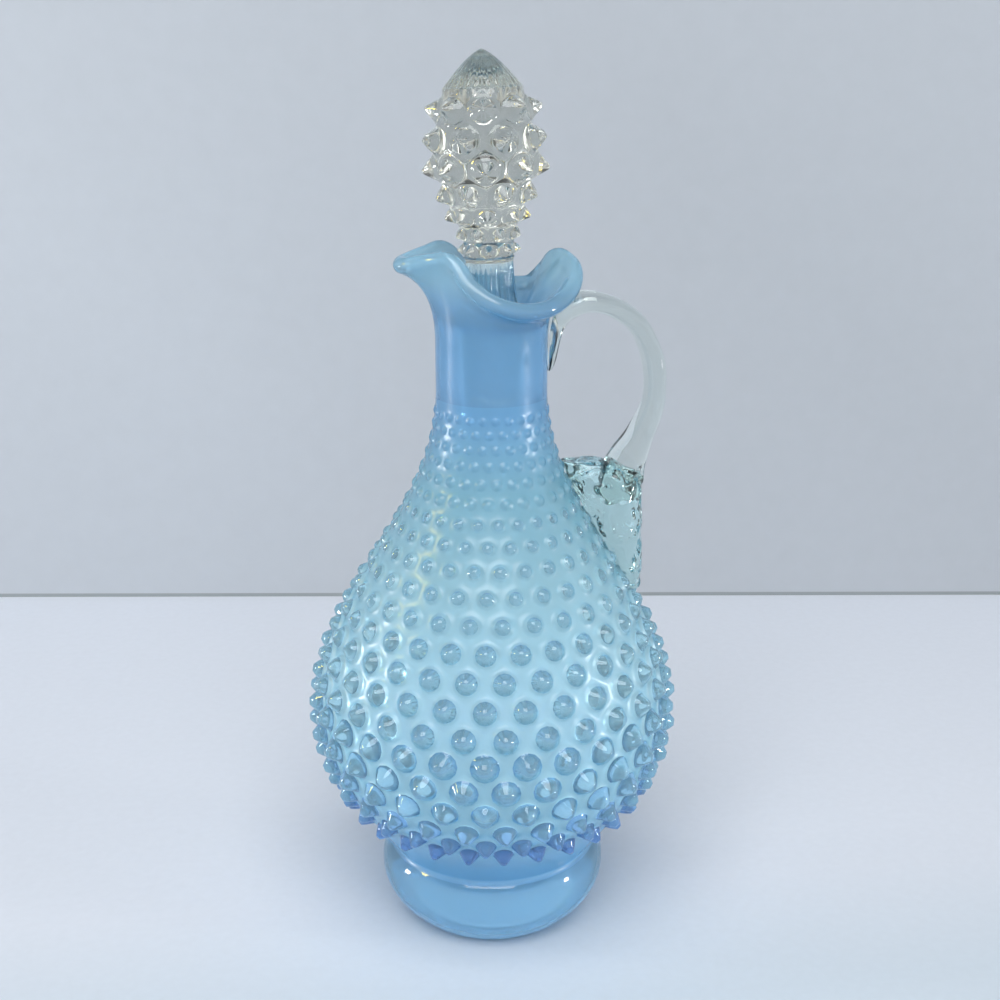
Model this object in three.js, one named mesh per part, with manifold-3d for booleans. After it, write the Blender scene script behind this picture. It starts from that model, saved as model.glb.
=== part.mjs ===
// Hobnail glass decanter: an opalescent blue vessel, a clear applied handle and a clear stopper.
// Millimetres, +Z up, origin at the centre of the foot, +X toward the handle, spout toward -X.
import * as THREE from 'three';
import { mergeVertices } from 'three/addons/utils/BufferGeometryUtils.js';
import Module from 'manifold-3d';

// Foot: a smooth cushion of glass on a narrow contact ring
const contactRadius = 31;
const contactWidth = 4;
const recessDepth = 3;
const footRadius = 43.3;
const footBulgeHeight = 19;
const creaseRadius = 39;
const creaseHeight = 30.5;

// Body: a globe drawn up into a long shoulder and a plain neck
const bellyRadius = 64.8;
const bellyHeight = 86;
const neckRadius = 20;
const shoulderTop = 208;
const flareHeight = 228;
const bellyWall = 4.6;
const floorThickness = 18;
const roundedFloorRise = 48;

// Hobs: staggered rows of blunt cones; rise and width are shares of the spacing round the row,
// and the pattern is turned a little from the handle
const hobColumns = 28;
const firstRowHeight = 50.8;
const lastRowHeight = 202;
const bottomRowPitch = 5.9;
const bellyRowPitch = 9.6;
const neckRowPitch = 4.4;
const pitchFallHeight = 140;
const hobRise = 0.385;
const hobWidth = 0.34;
const hobTip = 0.11;
const hobTurn = -2.8;
const hobFade = 0.5;
const smallHobRadius = 37;

// Lip: a thick rounded rim, crimped into a spout; each knot is the azimuth and reach of its centre
// and its rise over the start of the flare
const rimRadius = 3;
const rimKnots = [
  [0, 29.3, 22.5], [12, 29, 24.5], [24, 27.3, 25.9], [36, 26.2, 20.5], [47, 25, 16.2],
  [62, 23.4, 15], [84, 22.2, 15.6], [108, 22, 20.5], [134, 21.4, 28.5], [158, 23.6, 28],
  [180, 31.3, 25.4], [202, 23.6, 27.5], [223, 20.8, 28], [248, 22, 19.5], [276, 22.8, 13.3],
  [305, 24.8, 12], [328, 27, 14.6], [345, 28.8, 18.6],
];

// Throat: the ground seat that holds the plug of the stopper
const seatRise = 5;
const seatLength = 30;
const seatTopRadius = 11.3;
const seatTaper = 0.055;
const seatGap = 0.3;

// Stopper: plug, ribbed peg, hobnailed ovoid head and fluted cone; the head's widest place and
// its rows of hobs are shares of its length between peg and cone
const pegLength = 22;
const pegTopRadius = 8.3;
const ribCount = 28;
const ribDepth = 0.7;
const headRadius = 17.6;
const headWidestAt = 0.632;
const headLength = 57;
const coneRadius = 13.7;
const fluteDepth = 0.9;
const headLean = 2.1;
const leanAboveSeat = 3;
const coneHeight = 12.6;
const stopperColumns = 8;
const stopperTurn = -7;
const stopperRows = [0.063, 0.158, 0.267, 0.396, 0.544, 0.707, 0.874];
const stopperHobRise = 0.385;
const stopperHobWidth = 0.42;
const stopperHobTip = 0.08;

// Handle: a ladder of rungs, each its inner and outer point (reach and rise) and its depth,
// as shares of the handle's own sizes: its reach, its length from foot to top, and its depth
const handleGap = 0.35;
const handlePower = 2.3;
const handleReach = 63.6;
const handleFoot = 131;
const handleRise = 14.6;
const handleDepth = 23;
const rungs = [
  [0.332, 0.749, 0.267, 0.746, 0.217], [0.357, 0.806, 0.252, 0.815, 0.435],
  [0.399, 0.875, 0.236, 0.923, 0.652], [0.44, 0.908, 0.299, 0.995, 0.739],
  [0.522, 0.925, 0.487, 1, 0.696], [0.61, 0.921, 0.605, 0.984, 0.609],
  [0.695, 0.911, 0.717, 0.986, 0.565], [0.774, 0.882, 0.836, 0.95, 0.565],
  [0.824, 0.832, 0.932, 0.869, 0.565], [0.858, 0.766, 0.997, 0.771, 0.565],
  [0.868, 0.69, 1, 0.69, 0.565], [0.843, 0.611, 0.972, 0.615, 0.565],
  [0.805, 0.55, 0.934, 0.518, 0.587], [0.758, 0.5, 0.899, 0.444, 0.652],
  [0.698, 0.459, 0.874, 0.38, 0.783], [0.626, 0.433, 0.866, 0.319, 0.913],
  [0.535, 0.418, 0.865, 0.255, 1], [0.432, 0.409, 0.866, 0.188, 1],
  [0.456, 0.278, 0.869, 0.116, 0.87], [0.629, 0.134, 0.874, 0.054, 0.652],
  [0.786, 0, 0.881, 0.004, 0.348],
];

const turn = 2 * Math.PI;

// Heights that follow one another up from the neck
const seatTop = flareHeight + seatRise;
const pegTop = seatTop + pegLength;
const coneBase = pegTop + headLength;
const tipHeight = coneBase + coneHeight;
const handleTop = flareHeight + handleRise;

// Radius of the smooth wall under the hobs at a height above the crease
function bodyRadius(z) {
  if (z < bellyHeight) {
    const share = Math.max(0, (z - creaseHeight) / (bellyHeight - creaseHeight));
    return creaseRadius + (bellyRadius - creaseRadius) * Math.sin(share * Math.PI / 2);
  }
  const share = Math.min(1, (z - bellyHeight) / (shoulderTop - bellyHeight));
  return neckRadius + (bellyRadius - neckRadius) * (1 + Math.cos(share * Math.PI)) / 2;
}

function footProfile(z) {
  if (z < footBulgeHeight) {
    const below = (footBulgeHeight - z) / footBulgeHeight;
    return footRadius - (footRadius - contactRadius) * below * below;
  }
  const above = (z - footBulgeHeight) / (creaseHeight - footBulgeHeight);
  return footRadius - (footRadius - creaseRadius) * above ** 3;
}

// Seat radius falls evenly toward its lower end
const seatBottom = seatTop - seatLength;
const seatRadius = (z) => seatTopRadius - (seatTop - z) * seatTaper;

function insideRadius(z) {
  const floorTop = floorThickness + roundedFloorRise;
  if (z < floorTop) {
    const below = (floorTop - z) / roundedFloorRise;
    return (bodyRadius(floorTop) - bellyWall) * (1 - below ** 1.6);
  }
  const share = Math.max(0, (z - bellyHeight) / (seatBottom - bellyHeight));
  const neckWall = neckRadius - seatRadius(seatBottom);
  const wall = bellyWall + (neckWall - bellyWall) * share * share;
  return bodyRadius(z) - wall;
}

// A closed skin is a stack of rings, each a list of points in order of azimuth
class Skin {
  constructor() {
    this.positions = [];
    this.faces = [];
  }

  point(x, y, z) {
    this.positions.push(x, y, z);
    return this.positions.length / 3 - 1;
  }

  ring(count, place) {
    return Array.from({ length: count }, (unused, k) => this.point(...place(k)));
  }

  circle(count, radius, z) {
    return this.ring(count, (k) => polar(turn * k / count, radius, z));
  }

  // Joins two rings whose counts may differ, walking both by their share of the turn
  join(lower, upper) {
    let [i, j] = [0, 0];
    while (i < lower.length || j < upper.length) {
      const [a, b] = [lower[i % lower.length], upper[j % upper.length]];
      if ((i + 1) * upper.length <= (j + 1) * lower.length && i < lower.length) {
        this.faces.push(a, lower[(i + 1) % lower.length], b);
        i += 1;
      } else {
        this.faces.push(a, upper[(j + 1) % upper.length], b);
        j += 1;
      }
    }
  }

  stack(rings) {
    rings.slice(1).forEach((ring, k) => this.join(rings[k], ring));
  }

  startAt(pole, ring) {
    ring.forEach((a, k) => this.faces.push(pole, ring[(k + 1) % ring.length], a));
  }

  endAt(ring, pole) {
    ring.forEach((a, k) => this.faces.push(a, ring[(k + 1) % ring.length], pole));
  }

  geometry() {
    const made = new THREE.BufferGeometry();
    made.setAttribute('position', new THREE.Float32BufferAttribute(this.positions, 3));
    made.setIndex(this.faces);
    return made;
  }
}

function polar(azimuth, radius, z) {
  return [radius * Math.cos(azimuth), radius * Math.sin(azimuth), z];
}

// A wall of revolution read by arc length, so that rows can be spaced along it
class Wall {
  constructor(radiusAt, from, to, steps = 160) {
    this.samples = [];
    let arc = 0;
    for (let k = 0; k <= steps; k += 1) {
      const z = from + (to - from) * k / steps;
      const r = radiusAt(z);
      if (k > 0) arc += Math.hypot(r - this.samples[k - 1].r, z - this.samples[k - 1].z);
      this.samples.push({ arc, r, z });
    }
    this.widest = this.samples.reduce((a, b) => (b.r > a.r ? b : a));
  }

  at(arc) {
    const last = this.samples.length - 1;
    let k = this.samples.findIndex((s) => s.arc > arc);
    k = Math.min(Math.max(k < 0 ? last : k, 1), last);
    const [a, b] = [this.samples[k - 1], this.samples[k]];
    const share = THREE.MathUtils.clamp((arc - a.arc) / (b.arc - a.arc), 0, 1);
    const length = Math.hypot(b.r - a.r, b.z - a.z);
    return {
      r: a.r + (b.r - a.r) * share,
      z: a.z + (b.z - a.z) * share,
      outR: (b.z - a.z) / length,
      outZ: -(b.r - a.r) / length,
    };
  }

  arcAt(z) {
    const k = this.samples.findIndex((s) => s.z >= z);
    return this.samples[k < 0 ? this.samples.length - 1 : k].arc;
  }
}

// Height of a hob, a share of the spacing round its row; above the widest place it fades with the wall
function hobHeight(wall, { r, z }, columns, rise, fade) {
  const narrowing = z > wall.widest.z ? (r / wall.widest.r) ** fade : 1;
  return rise * turn * r / columns * narrowing;
}

// Staggered rows of hobs between two zigzag rings; returns the first and last ring.
// A row with a web has round feet that stand apart; the small rows share their corners.
function hobField(skin, wall, rows, columns, shape, below = null) {
  const { rise, width, tip, turned = 0, fade = 0, web = true } = shape;
  const doubled = columns * 2;
  const parity = shape.parity ?? 0;
  const pitchAfter = (j) => rows[Math.min(j + 1, rows.length - 1)] - rows[Math.min(j, rows.length - 2)];
  const spacing = (arc) => turn * wall.at(arc).r / columns;
  const azimuthOf = (k) => turn * (k / doubled + turned / 360);
  // Where three cells meet, a corner lies at the same distance from three hobs
  const corner = (arc, pitch) => {
    const half = Math.min(spacing(arc) / 2, pitch * 0.95);
    return (pitch * pitch - half * half) / (2 * pitch);
  };
  const zigzag = (base, pitch, odd, sign) => skin.ring(doubled, (k) => {
    const low = corner(base, pitch);
    const offset = k % 2 === odd ? pitch - low : low;
    const { r, z } = wall.at(base + sign * offset);
    return polar(azimuthOf(k), r, z);
  });
  const first = below ?? zigzag(rows[0], pitchAfter(0), parity, -1);
  const wrap = (list, k) => list[(k + list.length) % list.length];
  const quad = (a, b, c, d) => skin.faces.push(a, b, c, a, c, d);

  // Foot of one hob: six points round its centre, from lower left round to upper left
  const footOf = (arc, k) => [0, 1, 2, 3, 4, 5].map((c) => {
    const around = Math.PI * (c / 3 - 5 / 6);
    const gap = spacing(arc);
    const { r, z } = wall.at(arc + Math.sin(around) * width * gap);
    return skin.point(...polar(azimuthOf(k) + Math.cos(around) * width * gap / wall.at(arc).r, r, z));
  });
  // Top of one hob: a small triangle, or one point when it has no flat
  const raise = (arc, k, foot) => {
    const gap = spacing(arc);
    const { r, z, outR, outZ } = wall.at(arc);
    const height = hobHeight(wall, { r, z }, columns, rise, fade);
    const at = (side, up) => skin.point(...polar(
      azimuthOf(k) + side / r, r + outR * height - outZ * up, z + outZ * height + outR * up));
    if (!tip) {
      const apex = at(0, 0);
      foot.forEach((a, c) => skin.faces.push(a, foot[(c + 1) % 6], apex));
      return;
    }
    const cap = [0, 1, 2].map((c) => {
      const around = Math.PI * (c * 2 / 3 - 2 / 3);
      return at(Math.cos(around) * tip * gap, Math.sin(around) * tip * gap);
    });
    for (let c = 0; c < 3; c += 1) {
      const [a, b, next] = [foot[2 * c], foot[2 * c + 1], foot[(2 * c + 2) % 6]];
      skin.faces.push(a, b, cap[c], b, next, cap[c], next, cap[(c + 1) % 3], cap[c]);
    }
    skin.faces.push(...cap);
  };

  let ring = first;
  let lower = null;
  rows.forEach((arc, j) => {
    const odd = (j + parity) % 2;
    const hobs = Array.from({ length: columns }, (unused, m) => 2 * m + odd);
    if (!web) {
      const above = zigzag(arc, pitchAfter(j), odd, 1);
      hobs.forEach((k) => raise(arc, k, [wrap(ring, k - 1), wrap(ring, k), wrap(ring, k + 1),
        wrap(above, k + 1), wrap(above, k), wrap(above, k - 1)]));
      ring = above;
      return;
    }
    const feet = hobs.map((k) => footOf(arc, k));
    feet.forEach((foot, m) => {
      const right = wrap(feet, m + 1);
      raise(arc, hobs[m], foot);
      quad(foot[2], right[0], right[5], foot[3]);
      if (lower === null) {
        const [a, b, c] = [-1, 0, 1].map((step) => wrap(ring, hobs[m] + step));
        skin.faces.push(a, b, foot[0], b, foot[1], foot[0], b, c, foot[2], b, foot[2], foot[1],
          c, right[0], foot[2]);
        return;
      }
      // The hobs below left and right of this one, by the stagger of the rows
      const left = wrap(lower, m - 1 + odd);
      const under = wrap(lower, m + odd);
      quad(left[3], foot[1], foot[0], left[4]);
      quad(under[4], foot[2], foot[1], under[5]);
      skin.faces.push(under[4], right[0], foot[2], left[3], under[5], foot[1]);
    });
    lower = feet;
    if (j === rows.length - 1) {
      ring = zigzag(arc, pitchAfter(j), odd, 1);
      feet.forEach((foot, m) => {
        const [a, b, c] = [-1, 0, 1].map((step) => wrap(ring, hobs[m] + step));
        skin.faces.push(foot[5], b, a, foot[5], foot[4], b, foot[4], foot[3], b, foot[3], c, b,
          foot[3], wrap(feet, m + 1)[5], c);
      });
    }
  });
  return [first, ring];
}

// Vessel rows: the pitch is even over the belly, closer at the bottom and toward the neck
const bodyWall = new Wall(bodyRadius, creaseHeight, flareHeight);
const vesselRows = [bodyWall.arcAt(firstRowHeight)];
for (;;) {
  const arc = vesselRows.at(-1);
  const { z } = bodyWall.at(arc);
  const rising = Math.min(1, (vesselRows.length - 1) / 2);
  const falling = Math.max(0, (z - pitchFallHeight) / (lastRowHeight - pitchFallHeight));
  const full = bellyRowPitch + (neckRowPitch - bellyRowPitch) * falling;
  const next = arc + bottomRowPitch + (full - bottomRowPitch) * rising;
  if (bodyWall.at(next).z > lastRowHeight) break;
  vesselRows.push(next);
}

// Rim: a closed curve through the knots; every column of the lip rises from the neck to it
const rimCurve = new THREE.CatmullRomCurve3(
  rimKnots.map(([azimuth, reach, rise]) => new THREE.Vector3(
    ...polar(azimuth * turn / 360, reach, flareHeight + rise))),
  true);
const lipColumns = hobColumns * 2;

// Half a turn of the rim from outside to inside, as points of one column
function rimColumn(k, clearance = 0) {
  const share = k / lipColumns;
  const centre = rimCurve.getPointAt(share);
  const azimuth = turn * share;
  const foot = new THREE.Vector3(...polar(azimuth, neckRadius + clearance, flareHeight));
  const inner = new THREE.Vector3(...polar(azimuth, seatTopRadius, seatTop));
  const bend = (from, pull) => new THREE.Vector3(
    from.x + (centre.x - from.x) * pull, from.y + (centre.y - from.y) * pull,
    from.z + (centre.z - from.z) * 0.7);
  const along = centre.clone().sub(bend(foot, 0.06)).normalize();
  const outward = rimCurve.getTangentAt(share).cross(along).normalize();
  const radius = rimRadius + clearance;
  const edge = (angle) => centre.clone()
    .addScaledVector(along, radius * Math.cos(angle))
    .addScaledVector(outward, -radius * Math.sin(angle));
  const outerEdge = edge(-Math.PI * 0.68);
  const innerEdge = edge(Math.PI / 2);
  const outerCurve = new THREE.QuadraticBezierCurve3(foot, bend(foot, 0.04), outerEdge);
  const innerBend = new THREE.Vector3(
    inner.x + (innerEdge.x - inner.x) * 0.55, inner.y + (innerEdge.y - inner.y) * 0.55,
    inner.z + (innerEdge.z - inner.z) * 0.2);
  const innerCurve = new THREE.QuadraticBezierCurve3(innerEdge, innerBend, inner);
  return [
    ...[0.3, 0.56, 0.8, 1].map((t) => outerCurve.getPoint(t)),
    ...[-0.42, -0.14, 0.16].map((part) => edge(part * Math.PI)),
    ...[0, 0.3, 0.62].map((t) => innerCurve.getPoint(t)),
  ];
}

function lipRings(skin, clearance = 0) {
  const columns = Array.from({ length: lipColumns }, (unused, k) => rimColumn(k, clearance));
  return columns[0].map((unused, level) => skin.ring(lipColumns, (k) => columns[k][level].toArray()));
}

function makeVessel() {
  const skin = new Skin();
  const half = hobColumns;
  const underside = [
    skin.circle(half, (contactRadius - contactWidth) * 0.7, recessDepth * 0.85),
    skin.circle(half, contactRadius - contactWidth, 0),
    skin.circle(half, contactRadius, 0),
  ];
  skin.startAt(skin.point(0, 0, recessDepth), underside[0]);
  const footRings = [0.12, 0.3, 0.55, 0.85].map((share) => share * footBulgeHeight)
    .concat([0.2, 0.6, 0.85, 1].map((share) => footBulgeHeight + share * (creaseHeight - footBulgeHeight)))
    .map((z) => skin.circle(lipColumns, footProfile(z), z));
  const large = vesselRows.filter((arc) => bodyWall.at(arc).z < bellyHeight
    || bodyWall.at(arc).r > smallHobRadius);
  const small = vesselRows.slice(large.length);
  const [low, middle] = hobField(skin, bodyWall, large, hobColumns,
    { rise: hobRise, fade: hobFade, width: hobWidth, tip: hobTip, turned: hobTurn });
  const [, high] = hobField(skin, bodyWall, small, hobColumns,
    { rise: hobRise, fade: hobFade, turned: hobTurn, web: false,
      parity: large.length % 2 }, middle);
  const neck = skin.circle(lipColumns, neckRadius, flareHeight);
  const inside = [];
  inside.push(skin.circle(lipColumns, seatRadius(seatTop), seatTop));
  inside.push(skin.circle(half, seatRadius(seatBottom), seatBottom));
  const floorTop = floorThickness + roundedFloorRise;
  for (let k = 1; k < 9; k += 1) {
    const z = seatBottom + (floorTop - seatBottom) * k / 9;
    inside.push(skin.circle(half, insideRadius(z), z));
  }
  for (const share of [1, 0.8, 0.6, 0.4, 0.22, 0.08]) {
    const z = floorThickness + roundedFloorRise * share;
    inside.push(skin.circle(half, insideRadius(z), z));
  }
  skin.stack([...underside, ...footRings, low]);
  skin.stack([high, neck, ...lipRings(skin), ...inside]);
  skin.endAt(inside.at(-1), skin.point(0, 0, floorThickness));
  return skin.geometry();
}

// Space that the vessel takes up, hob tips and a gap included; the handle is cut back to it
function vesselClearance() {
  const skin = new Skin();
  const rings = [];
  const first = bodyWall.arcAt(bellyHeight * 1.3);
  const last = bodyWall.arcAt(flareHeight);
  const steps = 16;
  const lastHob = vesselRows.at(-1);
  for (let k = 0; k <= steps; k += 1) {
    const arc = first + (last - first) * k / steps;
    const { r, z, outR, outZ } = bodyWall.at(arc);
    const fade = THREE.MathUtils.clamp((bodyWall.at(lastHob).z + 4 - z) / 3, 0, 1);
    const hob = hobHeight(bodyWall, { r, z }, hobColumns, hobRise, hobFade);
    const lift = fade * hob + handleGap + 0.25;
    rings.push(skin.circle(lipColumns, r + outR * lift, z + outZ * lift));
  }
  const lip = lipRings(skin, handleGap).slice(0, 6);
  rings.push(...lip);
  skin.startAt(skin.point(0, 0, bellyHeight), rings[0]);
  skin.stack(rings);
  skin.endAt(rings.at(-1), skin.point(0, 0, tipHeight));
  return skin.geometry();
}

function makeStopper() {
  const skin = new Skin();
  const ribs = ribCount * 2;
  const plugRadius = (z) => seatRadius(z) - seatGap;
  const plugBottom = seatBottom + 1.5;
  const plug = [
    skin.circle(ribCount, plugRadius(plugBottom) - 1.2, plugBottom),
    skin.circle(ribCount, plugRadius(plugBottom), plugBottom + 1.2),
    skin.circle(ribs, plugRadius(seatTop), seatTop - 0.5),
  ];
  skin.startAt(skin.point(0, 0, plugBottom), plug[0]);
  // The peg is ribbed and narrows upward in a hollow curve
  const pegRings = [0.04, 0.3, 0.62, 1].map((share) => {
    const z = seatTop + (pegTop - seatTop) * share;
    const radius = pegTopRadius + (plugRadius(seatTop) - pegTopRadius) * (1 - share) ** 2.2;
    return skin.ring(ribs, (k) => polar(turn * k / ribs, radius - (k % 2) * ribDepth * 0.5, z));
  });
  // The collar ring between peg and head
  const collar = skin.circle(ribs, pegTopRadius + 0.6, pegTop + 0.7);
  const outline = new THREE.CatmullRomCurve3([
    [pegTopRadius, 0.021], [headRadius * 0.53, 0.158], [headRadius * 0.82, 0.396],
    [headRadius, headWidestAt], [headRadius * 0.88, 0.874], [coneRadius, 0.982],
  ].map(([r, share]) => new THREE.Vector3(r, 0, pegTop + headLength * share)));
  const profile = outline.getPoints(80);
  const headRadiusAt = (z) => {
    const k = profile.findIndex((p) => p.z >= z);
    if (k <= 0) return k === 0 ? profile[0].x : profile.at(-1).x;
    const [a, b] = [profile[k - 1], profile[k]];
    return a.x + (b.x - a.x) * (z - a.z) / (b.z - a.z);
  };
  const wall = new Wall(headRadiusAt, profile[0].z, profile.at(-1).z);
  const rows = stopperRows.map((share) => wall.arcAt(pegTop + headLength * share));
  const [low, high] = hobField(skin, wall, rows, stopperColumns,
    { rise: stopperHobRise, width: stopperHobWidth, tip: stopperHobTip, turned: stopperTurn });
  // Fluted cone: alternate columns stand proud and end lower, so that its edge is scalloped
  const flute = (share, drop) => skin.ring(ribs, (k) => {
    const hollow = k % 2;
    const radius = coneRadius * (1 - share) ** 0.72;
    const z = coneBase + coneHeight * share + (hollow ? drop : 0);
    return polar(turn * k / ribs, radius - hollow * fluteDepth * (1 - share), z);
  });
  const cone = [flute(0, coneHeight * 0.1), flute(0.35, 0), flute(0.7, 0), flute(0.94, 0)];
  skin.stack([...plug, ...pegRings, collar, low]);
  skin.stack([high, ...cone]);
  skin.endAt(cone.at(-1), skin.point(0, 0, tipHeight));
  // Head and peg lean a little toward the spout; the plug stays upright in its seat
  const lean = THREE.MathUtils.degToRad(headLean);
  const leanStart = seatTop + leanAboveSeat;
  for (let k = 0; k < skin.positions.length; k += 3) {
    const [x, , z] = skin.positions.slice(k, k + 3);
    const rise = z - leanStart;
    if (rise > 0) {
      skin.positions[k] = x * Math.cos(lean) - rise * Math.sin(lean);
      skin.positions[k + 2] = leanStart + x * Math.sin(lean) + rise * Math.cos(lean);
    }
  }
  return skin.geometry();
}

// Handle: an oval section on every rung, thinnest in the loop and widest in the lower lump
function makeHandleBlank() {
  const skin = new Skin();
  const around = 16;
  const placed = rungs.map(([innerR, innerZ, outerR, outerZ, depth]) => [
    innerR * handleReach, handleFoot + innerZ * (handleTop - handleFoot),
    outerR * handleReach, handleFoot + outerZ * (handleTop - handleFoot), depth * handleDepth]);
  const rings = placed.map(([innerR, innerZ, outerR, outerZ, depth]) => skin.ring(around, (k) => {
    const angle = -turn * k / around;
    const bulge = (v) => Math.sign(v) * Math.abs(v) ** (2 / handlePower);
    const across = bulge(Math.cos(angle));
    const side = bulge(Math.sin(angle));
    return [
      (innerR + outerR) / 2 + (outerR - innerR) / 2 * across,
      depth / 2 * side,
      (innerZ + outerZ) / 2 + (outerZ - innerZ) / 2 * across,
    ];
  }));
  const middle = ([innerR, innerZ, outerR, outerZ]) => [(innerR + outerR) / 2, 0, (innerZ + outerZ) / 2];
  skin.startAt(skin.point(...middle(placed[0])), rings[0]);
  skin.stack(rings);
  skin.endAt(rings.at(-1), skin.point(...middle(placed.at(-1))));
  return skin.geometry();
}

const wasm = await Module();
wasm.setup();

function toSolid(geometry) {
  const merged = mergeVertices(geometry, 1e-5);
  return new wasm.Manifold(new wasm.Mesh({
    numProp: 3,
    vertProperties: Float32Array.from(merged.attributes.position.array),
    triVerts: Uint32Array.from(merged.index.array),
  }));
}

function fromSolid(solid) {
  const mesh = solid.getMesh();
  const made = new THREE.BufferGeometry();
  made.setAttribute('position', new THREE.BufferAttribute(mesh.vertProperties, 3));
  made.setIndex(new THREE.BufferAttribute(mesh.triVerts, 1));
  return made;
}

function glass(name, geometry, color, roughness) {
  const faceted = geometry.toNonIndexed();
  faceted.computeVertexNormals();
  const material = new THREE.MeshStandardMaterial({ color, roughness, metalness: 0 });
  const mesh = new THREE.Mesh(faceted, material);
  mesh.name = name;
  return mesh;
}

const decanter = new THREE.Group();
decanter.add(glass('vessel', makeVessel(), 0x76abd8, 0.12));
decanter.add(glass('handle', fromSolid(toSolid(makeHandleBlank()).subtract(toSolid(vesselClearance()))),
  0xd5dde2, 0.05));
decanter.add(glass('stopper', makeStopper(), 0xc9d2d2, 0.06));

export default decanter;
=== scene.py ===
# Hobnail decanter: a milky sky-blue vessel, a clear loop handle and a clear stopper on a pale table.
# In the pieces' dictionaries lengths are millimetres and angles degrees; finishPiece brings meshes to metres.
from bisect import bisect
from math import atan2, cos, hypot, pi, radians, sin

import bmesh
import bpy
from mathutils import Matrix, Vector, noise


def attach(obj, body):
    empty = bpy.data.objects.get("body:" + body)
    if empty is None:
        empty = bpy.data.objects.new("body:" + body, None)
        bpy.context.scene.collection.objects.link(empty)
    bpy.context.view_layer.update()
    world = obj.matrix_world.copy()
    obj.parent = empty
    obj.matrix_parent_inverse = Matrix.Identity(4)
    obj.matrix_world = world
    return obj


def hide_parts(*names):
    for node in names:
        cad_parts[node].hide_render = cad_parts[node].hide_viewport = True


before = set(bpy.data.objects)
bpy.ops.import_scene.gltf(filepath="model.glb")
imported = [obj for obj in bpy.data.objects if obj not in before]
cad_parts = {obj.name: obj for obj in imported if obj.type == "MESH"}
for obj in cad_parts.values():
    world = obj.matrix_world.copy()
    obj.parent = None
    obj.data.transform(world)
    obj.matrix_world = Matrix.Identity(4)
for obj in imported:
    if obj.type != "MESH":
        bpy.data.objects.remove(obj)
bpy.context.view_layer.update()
print("frame loaded:", sorted(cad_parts))

# Camera: fitted to the rows of hobs, the foot and the stopper
view = dict(
    distance=488.93, height=324.85, pitch=17.916, aside=0.356, around=7.0, lens=50.4, sensor=36, nearest=20,
)


def addCamera():
    lens = bpy.data.cameras.new("photoCamera")
    lens.sensor_width = view["sensor"]
    lens.lens = view["lens"]
    lens.clip_start = view["nearest"] / 1000
    camera = bpy.data.objects.new("photoCamera", lens)
    bpy.context.scene.collection.objects.link(camera)
    around = radians(view["around"])
    far = view["distance"] / 1000
    camera.location = (-far * sin(around), -far * cos(around), view["height"] / 1000)
    camera.rotation_euler = (radians(90 - view["pitch"]), 0, -around - radians(view["aside"]))
    bpy.context.scene.camera = camera


addCamera()
print("camera placed")


# Helpers for turned walls
def polar(azimuth, radius, z):
    return Vector((radius * cos(azimuth), radius * sin(azimuth), z))


def between(a, b, share):
    return a + (b - a) * share


# A turned wall read by the length along it; at() gives its point and outward direction as radius and height
class Wall:
    def __init__(self, radiusAt, low, high, steps=160):
        heights = [between(low, high, k / steps) for k in range(steps + 1)]
        self.points = [Vector((radiusAt(z), z)) for z in heights]
        self.arcs = [0.0]
        for a, b in zip(self.points, self.points[1:]):
            self.arcs.append(self.arcs[-1] + (b - a).length)
        self.widest = max(self.points, key=lambda point: point.x)

    def at(self, arc):
        k = min(max(bisect(self.arcs, arc), 1), len(self.arcs) - 1)
        a, b = self.points[k - 1], self.points[k]
        share = min(max((arc - self.arcs[k - 1]) / (self.arcs[k] - self.arcs[k - 1]), 0), 1)
        along = (b - a).normalized()
        return between(a, b, share), Vector((along.y, -along.x))

    def arcAt(self, z):
        found = [k for k, point in enumerate(self.points) if point.y >= z]
        return self.arcs[found[0] if found else -1]


# Spins a profile of (radius, height) points; the layer "level" remembers each point's place in it
def spinProfile(bm, profile, steps, start=0.0):
    level = bm.verts.layers.float.new("level")
    verts = []
    for k, (radius, z) in enumerate(profile):
        vert = bm.verts.new(polar(start, radius, z))
        vert[level] = k
        verts.append(vert)
    edges = [bm.edges.new(pair) for pair in zip(verts, verts[1:])]
    bmesh.ops.spin(bm, geom=verts + edges, cent=(0, 0, 0), axis=(0, 0, 1), dvec=(0, 0, 0),
                   angle=2 * pi, steps=steps, use_merge=True, use_duplicate=False)
    bmesh.ops.remove_doubles(bm, verts=bm.verts, dist=0.001)
    return level


# A cell's half width for its pitch at most, a hob's foot for its room at most, and the first inset's width
hobGrid = dict(widest=0.95, room=0.97, inset=0.02)


# Borders halfway between the rows, and as far outside the first and the last
def rowBorders(rows):
    before, after = 2 * rows[0] - rows[1], 2 * rows[-1] - rows[-2]
    return [(a + b) / 2 for a, b in zip([before] + rows, rows + [after])]


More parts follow.
